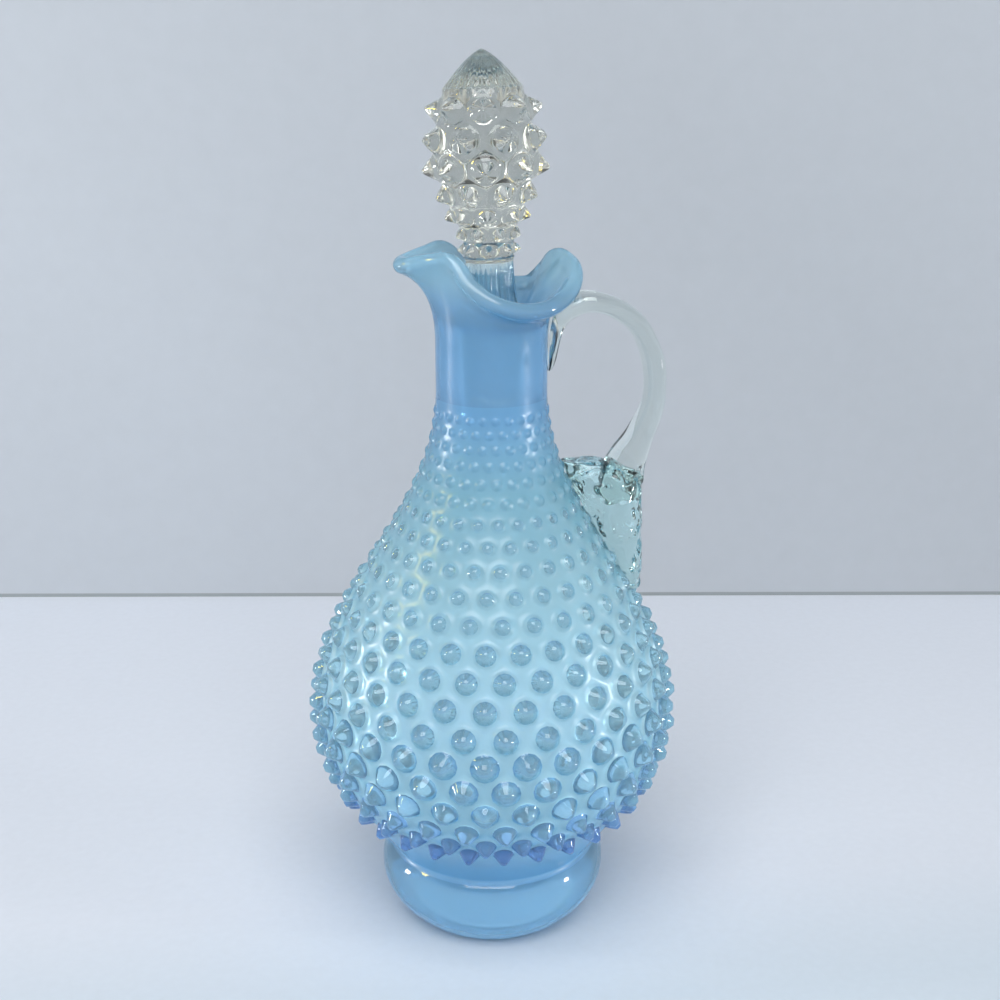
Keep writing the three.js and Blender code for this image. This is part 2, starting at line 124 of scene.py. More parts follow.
# Turns the rings between firstBorder and the last row's border into staggered six-sided cells
def hobCells(bm, level, wall, rows, firstBorder, perCell, columns, start):
    around = perCell * columns
    step = 2 * pi / around
    toEdge = perCell // 2  # steps from a cell's middle to its side

    def fromMiddle(co, row):
        column = round((atan2(co.y, co.x) - start) / step) % around
        return abs((column - row % 2 * toEdge + toEdge) % perCell - toEdge)

    # The row that an upright edge crosses
    def rowOf(edge):
        low, high = sorted(round(vert[level]) for vert in edge.verts)
        row = low - firstBorder
        return row if high == low + 1 and 0 <= row < len(rows) else None

    upright = [(edge, rowOf(edge)) for edge in bm.edges]
    seams = [edge for edge, row in upright if row is not None and fromMiddle(edge.verts[0].co, row) != toEdge]
    bmesh.ops.dissolve_edges(bm, edges=seams, use_verts=False, use_face_split=False)

    # Where three cells meet, the corner lies at the same distance from three hobs
    for vert in bm.verts:
        border = round(vert[level]) - firstBorder
        if not 0 <= border <= len(rows):
            continue
        row = max(border - 1, 0)
        pitch = rows[min(row + 1, len(rows) - 1)] - rows[min(row, len(rows) - 2)]
        half = min(pi * wall.at(rows[row])[0].x / columns, pitch * hobGrid["widest"])
        corner = (pitch * pitch - half * half) / (2 * pitch)
        offset = between(pitch - corner, corner, fromMiddle(vert.co, row) / toEdge)
        arc = rows[row] + (offset if border > 0 else -offset)
        point, _ = wall.at(arc)
        vert.co = polar(atan2(vert.co.y, vert.co.x), point.x, point.y)

    sides = [edge for edge in bm.edges if rowOf(edge) is not None]
    bmesh.ops.bisect_edges(bm, edges=sides, cuts=max(1, perCell // 4), edge_percents={})
    return [face for face in bm.faces if len(face.verts) > 2 * perCell]


# Foot radius and height of the hobs in a row; above the widest place they get lower with the wall
def hobSize(wall, rows, arc, columns, shape):
    point, _ = wall.at(arc)
    spacing = 2 * pi * point.x / columns
    narrowing = (point.x / wall.widest.x) ** shape["fade"] if point.y > wall.widest.y else 1
    k = rows.index(arc)
    nearest = min(abs(arc - rows[j]) for j in (k - 1, k + 1) if 0 <= j < len(rows))
    room = min(spacing, hypot(nearest, spacing / 2)) / 2
    radius = min(shape["width"] * spacing, hobGrid["room"] * room / shape["rings"][0][0])
    return radius, shape["rise"] * spacing * narrowing


# Raises a pointed hob with a flared foot on every cell; shape["rings"] are (reach, height) shares.
# The layers "hob" and "rowHeight" remember how far up a hob a point is, and how high its row is
def raiseHobs(bm, cells, wall, rows, columns, shape):
    mark = bm.verts.layers.float.new("hob")
    rowHeight = bm.verts.layers.float.new("rowHeight")
    placed = []
    for face in cells:
        centre = face.calc_center_median()
        arc = min(rows, key=lambda row: abs(wall.at(row)[0].y - centre.z))
        placed.append((face, arc, atan2(centre.y, centre.x), *hobSize(wall, rows, arc, columns, shape)))
    for reach, height in shape["rings"]:
        bmesh.ops.inset_individual(bm, faces=cells, thickness=hobGrid["inset"], depth=0,
                                   use_even_offset=False)
        for face, arc, azimuth, radius, rise in placed:
            point, outward = wall.at(arc)
            out = Vector((outward.x * cos(azimuth), outward.x * sin(azimuth), outward.y))
            side = Vector((-sin(azimuth), cos(azimuth), 0))
            up = out.cross(side)
            if up.z < 0:
                up.negate()
            middle = polar(azimuth, point.x, point.y)
            angles = []
            for vert in face.verts:
                away = vert.co - middle
                angles.append((atan2(away.dot(up), away.dot(side)), vert))
            angles.sort(key=lambda pair: pair[0])
            count = len(angles)
            phase = sum(angle - 2 * pi * k / count for k, (angle, _) in enumerate(angles)) / count
            for k, (_, vert) in enumerate(angles):
                angle = phase + 2 * pi * k / count
                across, along = cos(angle) * reach * radius, sin(angle) * reach * radius
                if height == 0:
                    ground, _ = wall.at(arc + along)
                    vert.co = polar(azimuth + across / point.x, ground.x, ground.y)
                else:
                    vert.co = middle + side * across + up * along + out * (height * rise)
                vert[mark] = height
                vert[rowHeight] = point.y
    tips = bmesh.ops.poke(bm, faces=cells, offset=0, center_mode="MEAN")
    for (_, arc, *_), tip in zip(placed, tips["verts"]):
        tip[mark] = 1
        tip[rowHeight] = wall.at(arc)[0].y
    return mark, rowHeight


def finishPiece(bm, name, body, node, slotName, *materials):
    bmesh.ops.recalc_face_normals(bm, faces=bm.faces)
    bmesh.ops.scale(bm, vec=(0.001, 0.001, 0.001), verts=bm.verts)
    mesh = bpy.data.meshes.new(name)
    bm.to_mesh(mesh)
    bm.free()
    for face in mesh.polygons:
        face.use_smooth = True
    piece = bpy.data.objects.new(name, mesh)
    bpy.context.scene.collection.objects.link(piece)
    for material in materials:
        piece.data.materials.append(material)
    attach(piece, body)
    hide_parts(node)
    return piece


# Materials
def principled(name):
    material = bpy.data.materials.new(name)
    material.use_nodes = True
    tree = material.node_tree
    return material, tree, tree.nodes["Principled BSDF"]


# Opalescent glass: a milky outer skin, clearer blue hobs, inner wall and foot.
# Lengths are metres here, and a finish's heights are shares of top. Changes start and end at the hob marks of
# ring, shineFrom and edgeFrom, at the heights underTop and underLow, and for the rim at the slants of rimFrom
opal = dict(
    top=0.26, ior=1.5, wave=0.06, waveScale=55, waveDepth=0.001,
    underTint=(0.58, 0.62, 1.0), underTop=0.064, underLow=0.052, ring=[(0.0, 0.0), (0.03, 0.25), (0.2, 1.0)],
    shineFrom=(0.5, 0.9), edgeFrom=(0.4, 0.05), rim=(0.70, 0.91, 1.0), rimFrom=(0.35, 0.9), rimBlend=0.5,
    milk=dict(
        # The two lowest milk colours make a darker band between the crease and the lowest hobs: partly the
        # glass's violet-blue, partly painted shade under the overhanging hobs
        heights=[(0.12, (0.32, 0.66, 1.0)), (0.17, (0.34, 0.68, 1.0)), (0.22, (0.48, 0.83, 1.0)),
                 (0.29, (0.53, 0.88, 1.0)), (0.42, (0.56, 0.86, 0.98)), (0.58, (0.40, 0.67, 0.77)),
                 (0.68, (0.27, 0.54, 0.67)), (0.78, (0.20, 0.46, 0.74))],
        clear=0.5, rough=0.26, tipRough=0.08),
    neck=dict(
        heights=[(0.77, (0.25, 0.53, 0.84)), (0.90, (0.23, 0.50, 0.79)), (0.955, (0.43, 0.70, 0.85))],
        clear=0.62, rough=0.05),
    # The hobs' edge tint is painted shade: it darkens each clear hob towards its foot
    hobs=dict(
        heights=[(0.19, (0.40, 0.76, 1.0)), (0.3, (0.46, 0.80, 0.98)), (0.42, (0.52, 0.84, 0.95)),
                 (0.60, (0.50, 0.82, 0.95)), (0.78, (0.40, 0.74, 1.0))],
        clear=0.74, rough=0.0, edge=(0.66, 0.80, 0.96)),
    inner=dict(heights=[(0.0, (0.80, 0.94, 1.0)), (1.0, (0.80, 0.94, 1.0))], clear=1.0, rough=0.0),
    foot=dict(heights=[(0.0, (0.36, 0.71, 1.0)), (0.11, (0.36, 0.71, 1.0))], clear=0.62, rough=0.0),
)


def colorRamp(tree, stops, color=True):
    ramp = tree.nodes.new("ShaderNodeValToRGB")
    elements = ramp.color_ramp.elements
    while len(elements) < len(stops):
        elements.new(1.0)
    for element, (position, value) in zip(elements, stops):
        element.position = position
        element.color = (*value, 1) if color else (value, value, value, 1)
    return ramp


def mapRange(tree, source, low, high, toLow=0.0, toHigh=1.0):
    node = tree.nodes.new("ShaderNodeMapRange")
    for name, value in (("From Min", low), ("From Max", high), ("To Min", toLow), ("To Max", toHigh)):
        node.inputs[name].default_value = value
    tree.links.new(source, node.inputs["Value"])
    return node.outputs["Result"]


def multiply(tree, a, b):
    node = tree.nodes.new("ShaderNodeMath")
    node.operation = "MULTIPLY"
    for socket, value in zip(node.inputs, (a, b)):
        if isinstance(value, (int, float)):
            socket.default_value = value
        else:
            tree.links.new(value, socket)
    return node.outputs["Value"]


def tint(tree, factor, a, color):
    node = tree.nodes.new("ShaderNodeMix")
    node.data_type = "RGBA"
    node.blend_type = "MULTIPLY"
    tree.links.new(factor, node.inputs["Factor"])
    tree.links.new(a, node.inputs["A"])
    node.inputs["B"].default_value = (*color, 1)
    return node.outputs["Result"]


def noiseOn(tree, place, scale, detail=2.0, twist=0.0):
    node = tree.nodes.new("ShaderNodeTexNoise")
    node.inputs["Scale"].default_value = scale
    node.inputs["Detail"].default_value = detail
    node.inputs["Distortion"].default_value = twist
    tree.links.new(place.outputs["Object"], node.inputs["Vector"])
    return node.outputs["Fac"]


def bumpOn(tree, height, strength, depth, shader):
    node = tree.nodes.new("ShaderNodeBump")
    node.inputs["Strength"].default_value = strength
    node.inputs["Distance"].default_value = depth
    tree.links.new(height, node.inputs["Height"])
    tree.links.new(node.outputs["Normal"], shader.inputs["Normal"])


def opalGlass(name, finish):
    material, tree, shader = principled(name)
    link = tree.links.new
    place = tree.nodes.new("ShaderNodeTexCoord")
    split = tree.nodes.new("ShaderNodeSeparateXYZ")
    link(place.outputs["Object"], split.inputs[0])
    height = colorRamp(tree, finish["heights"])
    link(mapRange(tree, split.outputs["Z"], 0, opal["top"]), height.inputs["Fac"])
    hob = tree.nodes.new("ShaderNodeAttribute")
    hob.attribute_name = "hob"
    ring = colorRamp(tree, opal["ring"], color=False)
    link(hob.outputs["Fac"], ring.inputs["Fac"])
    # The lowest rows' hobs are violet
    low = mapRange(tree, split.outputs["Z"], opal["underTop"], opal["underLow"])
    under = multiply(tree, ring.outputs["Color"], low)
    color = tint(tree, under, height.outputs["Color"], opal["underTint"])
    # Painted shade: each clear hob is tinted darker and bluer towards its foot, for the dark outline round
    # the hob discs
    if "edge" in finish:
        color = tint(tree, mapRange(tree, hob.outputs["Fac"], *opal["edgeFrom"]), color, finish["edge"])
    # Seen slantwise the glass is a deeper blue
    slant = tree.nodes.new("ShaderNodeLayerWeight")
    slant.inputs["Blend"].default_value = opal["rimBlend"]
    color = tint(tree, mapRange(tree, slant.outputs["Facing"], *opal["rimFrom"]), color, opal["rim"])
    link(color, shader.inputs["Base Color"])
    wave = noiseOn(tree, place, opal["waveScale"])
    bumpOn(tree, wave, opal["wave"], opal["waveDepth"], shader)
    shader.inputs["Roughness"].default_value = finish["rough"]
    if "tipRough" in finish:  # the hobs' tips shine, and the web between them is softer
        ends = finish["rough"], finish["tipRough"]
        link(mapRange(tree, hob.outputs["Fac"], *opal["shineFrom"], *ends), shader.inputs["Roughness"])
    shader.inputs["Transmission Weight"].default_value = finish["clear"]
    shader.inputs["IOR"].default_value = opal["ior"]
    return material


# Clear glass; curls are drawn-out ripples in the skin as (scale, twist, depth in metres)
crystal = dict(
    ior=1.5,
    rod=dict(color=(0.85, 0.91, 0.88)),
    lump=dict(color=(0.68, 0.95, 0.96), curls=(75, 2.2, 0.0016)),
    stopper=dict(color=(0.65, 0.665, 0.61)),
    # The peg's blue tint is a painted reflection of the blue walls round it
    peg=dict(color=(0.80, 0.97, 1.0)),
    plug=dict(color=(0.66, 0.74, 0.74), rough=0.35),
    cone=dict(color=(0.79, 0.84, 0.73)),
)


def clearGlass(name, finish):
    material, tree, shader = principled(name)
    shader.inputs["Base Color"].default_value = (*finish["color"], 1)
    shader.inputs["Transmission Weight"].default_value = 1
    shader.inputs["Roughness"].default_value = finish.get("rough", 0.0)
    shader.inputs["IOR"].default_value = crystal["ior"]
    if "curls" in finish:
        scale, twist, depth = finish["curls"]
        place = tree.nodes.new("ShaderNodeTexCoord")
        bumpOn(tree, noiseOn(tree, place, scale, detail=0, twist=twist), 1, depth, shader)
    return material


milkGlass = opalGlass("opalMilkGlass", opal["milk"])
neckGlass = opalGlass("opalNeckGlass", opal["neck"])
hobGlass = opalGlass("opalHobGlass", opal["hobs"])
innerGlass = opalGlass("opalInnerGlass", opal["inner"])
footGlass = opalGlass("opalFootGlass", opal["foot"])
rodGlass = clearGlass("clearRodGlass", crystal["rod"])
lumpGlass = clearGlass("clearLumpGlass", crystal["lump"])
stopperGlass = clearGlass("clearStopperGlass", crystal["stopper"])
pegGlass = clearGlass("clearPegGlass", crystal["peg"])
coneGlass = clearGlass("clearConeGlass", crystal["cone"])
groundGlass = clearGlass("groundPlugGlass", crystal["plug"])
print("materials made")

# Vessel
vesselShape = dict(
    contactRadius=31, contactWidth=4, recess=3, footRadius=43.3, footBulge=19, creaseRadius=39, crease=30.5,
    belly=86, bellyRadius=64.8, neckRadius=20, shoulderTop=208, flare=228, wall=4.6, floor=18, floorRise=48,
    floorCurve=1.6, columns=28, perCell=4, turned=-2.8,
    firstRow=50.8, lastRow=202, bottomPitch=5.9, bellyPitch=9.6, neckPitch=4.4, pitchFall=140,
    seatTop=233, seatLength=30, seatTopRadius=11.3, seatTaper=0.055, rimRadius=3,
    # Where the rings lie: the recess as shares of its radius and depth, the rest as heights
    recessRings=[(0, 1), (0.4, 1), (0.75, 0.93), (0.92, 0.6)], recessEdge=(0.98, 0.35), contactRound=0.5,
    footRings=(0.5, 1.5, 3, 5, 7.5, 10, 13, 16, 19, 22, 24.5, 26.5, 28, 29.3, 30.1),
    waistRings=(30.9, 32, 34, 37, 40.5, 44), neckRings=(206.5, 209, 213, 218, 223, 228),
    throatRings=(231, 225, 218, 210, 204), insideRings=18,
    floorRings=(0.9, 0.78, 0.66, 0.54, 0.42, 0.31, 0.21, 0.13, 0.06, 0.02),
)
vesselHobs = dict(
    rise=0.385, width=0.36, fade=0.9,
    rings=[(1.12, 0), (1.0, 0.05), (0.86, 0.22), (0.72, 0.4), (0.56, 0.6), (0.26, 0.9)],
    clearFrom=[(100, 0.04), (132, 0.2), (168, 0.38)],  # rows below this height are clear from this mark
)
# Rim: azimuth, reach and height of the bead's centre
rimKnots = [
    (0, 29.3, 250.5), (12, 29, 252.5), (24, 27.3, 253.9), (36, 26.2, 248.5), (47, 25, 244.2), (62, 23.4, 243),
    (84, 22.2, 243.6), (108, 22, 248.5), (134, 21.4, 256.5), (158, 23.6, 256), (180, 31.3, 253.4),
    (202, 23.6, 255.5), (223, 20.8, 256), (248, 22, 247.5), (276, 22.8, 241.3), (305, 24.8, 240),
    (328, 27, 242.6), (345, 28.8, 246.6),
]


def bodyRadius(z):
    s = vesselShape
    if z < s["belly"]:
        share = max(0, (z - s["crease"]) / (s["belly"] - s["crease"]))
        return s["creaseRadius"] + (s["bellyRadius"] - s["creaseRadius"]) * sin(share * pi / 2)
    share = min(1, (z - s["belly"]) / (s["shoulderTop"] - s["belly"]))
    return s["neckRadius"] + (s["bellyRadius"] - s["neckRadius"]) * (1 + cos(share * pi)) / 2


def footRadiusAt(z):
    s = vesselShape
    if z < s["footBulge"]:
        return s["footRadius"] - (s["footRadius"] - s["contactRadius"]) * (1 - z / s["footBulge"]) ** 2
    share = (z - s["footBulge"]) / (s["crease"] - s["footBulge"])
    return s["footRadius"] - (s["footRadius"] - s["creaseRadius"]) * share ** 3


def seatRadius(z):
    return vesselShape["seatTopRadius"] - (vesselShape["seatTop"] - z) * vesselShape["seatTaper"]


def insideRadius(z):
    s = vesselShape
    floorTop = s["floor"] + s["floorRise"]
    if z < floorTop:
        fall = (floorTop - z) / s["floorRise"]
        return (bodyRadius(floorTop) - s["wall"]) * (1 - fall ** s["floorCurve"])
    seatBottom = s["seatTop"] - s["seatLength"]
    share = max(0, (z - s["belly"]) / (seatBottom - s["belly"]))
    neckWall = s["neckRadius"] - seatRadius(seatBottom)
    return bodyRadius(z) - s["wall"] - (neckWall - s["wall"]) * share * share


# The rim's centre line as an automatic closed curve through the knots, read by its length
def rimLine():
    curve = bpy.data.curves.new("rimLine", "CURVE")
    curve.dimensions = "3D"
    curve.resolution_u = 24
    spline = curve.splines.new("BEZIER")
    spline.bezier_points.add(len(rimKnots) - 1)
    spline.use_cyclic_u = True
    for point, (azimuth, reach, z) in zip(spline.bezier_points, rimKnots):
        point.co = polar(radians(azimuth), reach, z)
        point.handle_left_type = point.handle_right_type = "AUTO"
    holder = bpy.data.objects.new("rimLine", curve)
    bpy.context.scene.collection.objects.link(holder)
    bpy.context.view_layer.update()
    line = [vert.co.copy() for vert in holder.to_mesh().vertices]
    holder.to_mesh_clear()
    bpy.data.objects.remove(holder)
    bpy.data.curves.remove(curve)
    line.append(line[0])
    lengths = [0.0]
    for a, b in zip(line, line[1:]):
        lengths.append(lengths[-1] + (b - a).length)

    def at(share):
        wanted = share % 1 * lengths[-1]
        k = min(max(bisect(lengths, wanted), 1), len(line) - 1)
        part = (wanted - lengths[k - 1]) / (lengths[k] - lengths[k - 1])
        return between(line[k - 1], line[k], part)

    return at


rimAt = rimLine()


def bezier(a, b, c, t):
    return a * (1 - t) ** 2 + b * (2 * t * (1 - t)) + c * t * t


# One column of the lip: up the outside, over the bead and down the inside to the seat.
# Bends are (reach, height) shares of the way to the bead; bead angles are half turns from straight up
lipShape = dict(
    outer=(0.12, 0.25, 0.38, 0.5, 0.62, 0.74, 0.86, 1), outerBend=(0.04, 0.7), outerEnd=-0.68,
    bead=(-0.58, -0.47, -0.36, -0.25, -0.14, -0.03, 0.08, 0.19, 0.3, 0.4), beadBend=(0.06, 0.7),
    beadStep=0.002,
    inner=(0, 0.1, 0.22, 0.36, 0.5, 0.64, 0.78, 0.9, 1), innerBend=(0.55, 0.2),
)
lipParts = [(part, value) for part in ("outer", "bead", "inner") for value in lipShape[part]]


def bent(start, end, reach, height):
    return Vector((between(start.x, end.x, reach), between(start.y, end.y, reach),
                   between(start.z, end.z, height)))


def lipPoint(share, part, value):
    s = vesselShape
    centre = rimAt(share)
    azimuth = 2 * pi * share
    foot = polar(azimuth, s["neckRadius"], s["flare"])
    seat = polar(azimuth, s["seatTopRadius"], s["seatTop"])
    along = (centre - bent(foot, centre, *lipShape["beadBend"])).normalized()
    step = lipShape["beadStep"]
    tangent = (rimAt(share + step) - rimAt(share - step)).normalized()
    outward = tangent.cross(along).normalized()

    def edge(angle):
        return centre + (along * cos(angle) - outward * sin(angle)) * s["rimRadius"]

    if part == "outer":
        bend = bent(foot, centre, *lipShape["outerBend"])
        return bezier(foot, bend, edge(lipShape["outerEnd"] * pi), value)
    if part == "bead":
        return edge(value * pi)
    top = edge(pi / 2)
    return bezier(top, bent(seat, top, *lipShape["innerBend"]), seat, value)


def hobRows(wall):
    s = vesselShape
    rows = [wall.arcAt(s["firstRow"])]
    while True:
        point, _ = wall.at(rows[-1])
        rising = min(1, (len(rows) - 1) / 2)
        falling = max(0, (point.y - s["pitchFall"]) / (s["lastRow"] - s["pitchFall"]))
        full = between(s["bellyPitch"], s["neckPitch"], falling)
        following = rows[-1] + between(s["bottomPitch"], full, rising)
        if wall.at(following)[0].y > s["lastRow"]:
            return rows
        rows.append(following)


hobWall = Wall(bodyRadius, vesselShape["crease"], vesselShape["flare"])
vesselRows = hobRows(hobWall)


def makeVessel():
    s = vesselShape
    wall, rows = hobWall, vesselRows
    inner = s["contactRadius"] - s["contactWidth"]
    profile = [(inner * reach, s["recess"] * depth) for reach, depth in s["recessRings"]]
    profile += [(inner * s["recessEdge"][0], s["recessEdge"][1]), (inner + s["contactRound"], 0),
                (s["contactRadius"], 0)]
    profile += [(footRadiusAt(z), z) for z in s["footRings"]]
    profile += [(bodyRadius(z), z) for z in s["waistRings"]]
    firstBorder = len(profile)
    profile += [tuple(wall.at(arc)[0]) for arc in rowBorders(rows)]
    firstNeck = len(profile)
    profile += [(bodyRadius(z), z) for z in s["neckRings"]]
    firstLip = len(profile)
    firstInside = firstLip + len(lipParts)
    # Only places for the lip's rings, which lipPoint moves
    profile += [(s["neckRadius"] - 0.2 * k, s["flare"] + 1 + 0.2 * k) for k in range(len(lipParts))]
    seatBottom = s["seatTop"] - s["seatLength"]
    profile += [(seatRadius(z), z) for z in (*s["throatRings"], seatBottom)]
    floorTop = s["floor"] + s["floorRise"]
    count = s["insideRings"]
    insideRings = [between(seatBottom, floorTop, k / count) for k in range(1, count + 1)]
    floorRings = [s["floor"] + s["floorRise"] * share for share in s["floorRings"]]
    profile += [(insideRadius(z), z) for z in insideRings + floorRings]
    profile.append((0, s["floor"]))

    bm = bmesh.new()
    start = radians(s["turned"])
    level = spinProfile(bm, profile, s["columns"] * s["perCell"], start)
    for vert in bm.verts:
        part = round(vert[level]) - firstLip
        if 0 <= part < len(lipParts):
            vert.co = lipPoint(atan2(vert.co.y, vert.co.x) / (2 * pi), *lipParts[part])
    cells = hobCells(bm, level, wall, rows, firstBorder, s["perCell"], s["columns"], start)
    print("vessel cells:", len(cells), "rows:", len(rows))
    mark, rowHeight = raiseHobs(bm, cells, wall, rows, s["columns"], vesselHobs)
    # The outside is milky, but for the clearer hobs under the neck, the foot and the neck itself
    milk, hobs, inside, foot, neck = range(5)
    for face in bm.faces:
        lowest = min(vert[level] for vert in face.verts)
        row = max(vert[rowHeight] for vert in face.verts)
        clearFrom = next((share for top, share in vesselHobs["clearFrom"] if row < top), 2)
        if lowest >= firstInside - 0.5:
            face.material_index = inside
        elif lowest >= firstNeck - 0.5:
            face.material_index = neck
        elif face.calc_center_median().z < s["crease"] - 1:
            face.material_index = foot
        elif min(vert[mark] for vert in face.verts) >= clearFrom:
            face.material_index = hobs
        else:
            face.material_index = milk
    bm.verts.layers.float.remove(rowHeight)
    return finishPiece(bm, "vesselGlass", "decanter", "vessel", "opal_blue_glass",
                       milkGlass, hobGlass, innerGlass, footGlass, neckGlass)


vessel = makeVessel()
print("vessel made:", len(vessel.data.polygons), "faces")

# Stopper
stopperShape = dict(
    columns=8, perCell=14, turned=-7, lean=2.1, leanStart=236,
    plugGap=0.3, plugBottom=204.5, plugFlat=6.5, plugRings=(206, 212, 220, 228, 232.5),
    plugBevel=[(0.9, 0.1), (0.2, 0.6)],  # in from the plug's side and up from its bottom
    pegTop=255, pegRadius=8.3, pegFlare=2.2, ribs=28, ribDepth=0.7,
    pegRings=(0.03, 0.1, 0.18, 0.28, 0.4, 0.52, 0.64, 0.76, 0.88, 0.97),
    collar=[(0.1, 0.1), (0.6, 0.5), (0.6, 0.9), (0.1, 1.2)],  # out from the peg and up from its top
    # The head's rows, its ends and its (height, radius) knots are shares of its length and radius
    headRadius=17.6, rows=(0.063, 0.158, 0.267, 0.396, 0.544, 0.707, 0.874),
    headStart=0.021, headEnd=0.018, headJoin=0.982,
    headKnots=[(0.158, 0.53), (0.396, 0.82), (0.632, 1), (0.874, 0.88)],
    coneBase=312, coneRadius=13.7, coneHeight=12.6, coneCurve=0.72, fluteDepth=0.55, scallop=0.6,
    coneRings=(0, 0.03, 0.1, 0.22, 0.36, 0.5, 0.64, 0.78, 0.9, 0.97),
)
stopperHobs = dict(
    rise=0.385, width=0.335, fade=0,
    rings=[(1.17, 0), (1.06, 0.01), (0.98, 0.06), (0.88, 0.16), (0.76, 0.3), (0.63, 0.45), (0.49, 0.6),
           (0.35, 0.75), (0.22, 0.88), (0.1, 0.965)],
)


# A smooth line through (height, radius) knots
def smoothThrough(knots):
    def at(z):
        k = min(max(bisect([knot[0] for knot in knots], z), 1), len(knots) - 1)
        p = [knots[min(max(k + step, 0), len(knots) - 1)] for step in (-2, -1, 0, 1)]
        span = p[2][0] - p[1][0]
        t = min(max((z - p[1][0]) / span, 0), 1)
        before = (p[2][1] - p[0][1]) / max(p[2][0] - p[0][0], 0.001) * span
        after = (p[3][1] - p[1][1]) / max(p[3][0] - p[1][0], 0.001) * span
        return ((2 * t**3 - 3 * t**2 + 1) * p[1][1] + (t**3 - 2 * t**2 + t) * before
                + (3 * t**2 - 2 * t**3) * p[2][1] + (t**3 - t**2) * after)
    return at


def makeStopper():
    s = stopperShape
    length = s["coneBase"] - s["pegTop"]
    r = s["headRadius"]
    knots = [(s["headStart"], s["pegRadius"])] + [(share, r * wide) for share, wide in s["headKnots"]] \
        + [(s["headJoin"], s["coneRadius"])]
    headAt = smoothThrough([(s["pegTop"] + length * share, radius) for share, radius in knots])
    wall = Wall(headAt, s["pegTop"] + s["headStart"] * length, s["coneBase"] - s["headEnd"] * length)
    rows = [wall.arcAt(s["pegTop"] + length * share) for share in s["rows"]]
    seatTop = vesselShape["seatTop"]
    plugTop = seatRadius(seatTop) - s["plugGap"]
    low = s["plugBottom"]
    profile = [(0, low), (s["plugFlat"], low)]
    profile += [(seatRadius(low) - s["plugGap"] - inward, low + up) for inward, up in s["plugBevel"]]
    profile += [(seatRadius(z) - s["plugGap"], z) for z in s["plugRings"]]
    firstPeg = len(profile)
    for share in s["pegRings"]:
        radius = s["pegRadius"] + (plugTop - s["pegRadius"]) * (1 - share) ** s["pegFlare"]
        profile.append((radius, between(seatTop, s["pegTop"], share)))
    lastPeg = len(profile) - 1
    profile += [(s["pegRadius"] + out, s["pegTop"] + up) for out, up in s["collar"]]
    firstBorder = len(profile)
    profile += [tuple(wall.at(arc)[0]) for arc in rowBorders(rows)]
    firstCone = len(profile)
    for share in s["coneRings"]:
        radius = s["coneRadius"] * (1 - share) ** s["coneCurve"]
        profile.append((radius, s["coneBase"] + s["coneHeight"] * share))
    profile.append((0, s["coneBase"] + s["coneHeight"]))

    bm = bmesh.new()
    start = radians(s["turned"])
    around = s["columns"] * s["perCell"]
    level = spinProfile(bm, profile, around, start)
    for vert in bm.verts:
        k = round(vert[level])
        azimuth = atan2(vert.co.y, vert.co.x)
        wave = (1 + cos((azimuth - start) * s["ribs"])) / 2  # one on a rib, nought in a groove
        radius = hypot(vert.co.x, vert.co.y)
        if firstPeg <= k <= lastPeg:
            fade = min(1, (k - firstPeg + 1) / 2)  # the ribs start softly over the plug
            vert.co = polar(azimuth, radius - s["ribDepth"] * (1 - wave) * fade, vert.co.z)
        if k >= firstCone and radius > 0.5:  # all of the cone but its point
            share = s["coneRings"][min(k - firstCone, len(s["coneRings"]) - 1)]
            lift = (1 - wave) * s["scallop"] if k == firstCone else 0
            vert.co = polar(azimuth, radius - s["fluteDepth"] * (1 - wave) * (1 - share), vert.co.z + lift)
    cells = hobCells(bm, level, wall, rows, firstBorder, s["perCell"], s["columns"], start)
    print("stopper cells:", len(cells))
    raiseHobs(bm, cells, wall, rows, s["columns"], stopperHobs)
    # The plug is ground, the peg is tinted blue as a painted reflection of the blue walls round it, and the
    # cone is greener than the head
    head, peg, cone, plug = range(4)
    for face in bm.faces:
        levels = [vert[level] for vert in face.verts]
        if min(levels) >= firstCone - 0.5:
            face.material_index = cone
        elif max(levels) <= firstPeg + 0.5:
            face.material_index = plug
        elif max(levels) <= lastPeg + 0.5:
            face.material_index = peg
        else:
            face.material_index = head
    leaning = [vert for vert in bm.verts if vert.co.z > s["leanStart"]]
    bmesh.ops.rotate(bm, verts=leaning, cent=(0, 0, s["leanStart"]),
                     matrix=Matrix.Rotation(-radians(s["lean"]), 3, "Y"))
    return finishPiece(bm, "stopperGlass", "stopper", "stopper", "clear_glass",
                       stopperGlass, pegGlass, coneGlass, groundGlass)


stopper = makeStopper()
print("stopper made:", len(stopper.data.polygons), "faces")

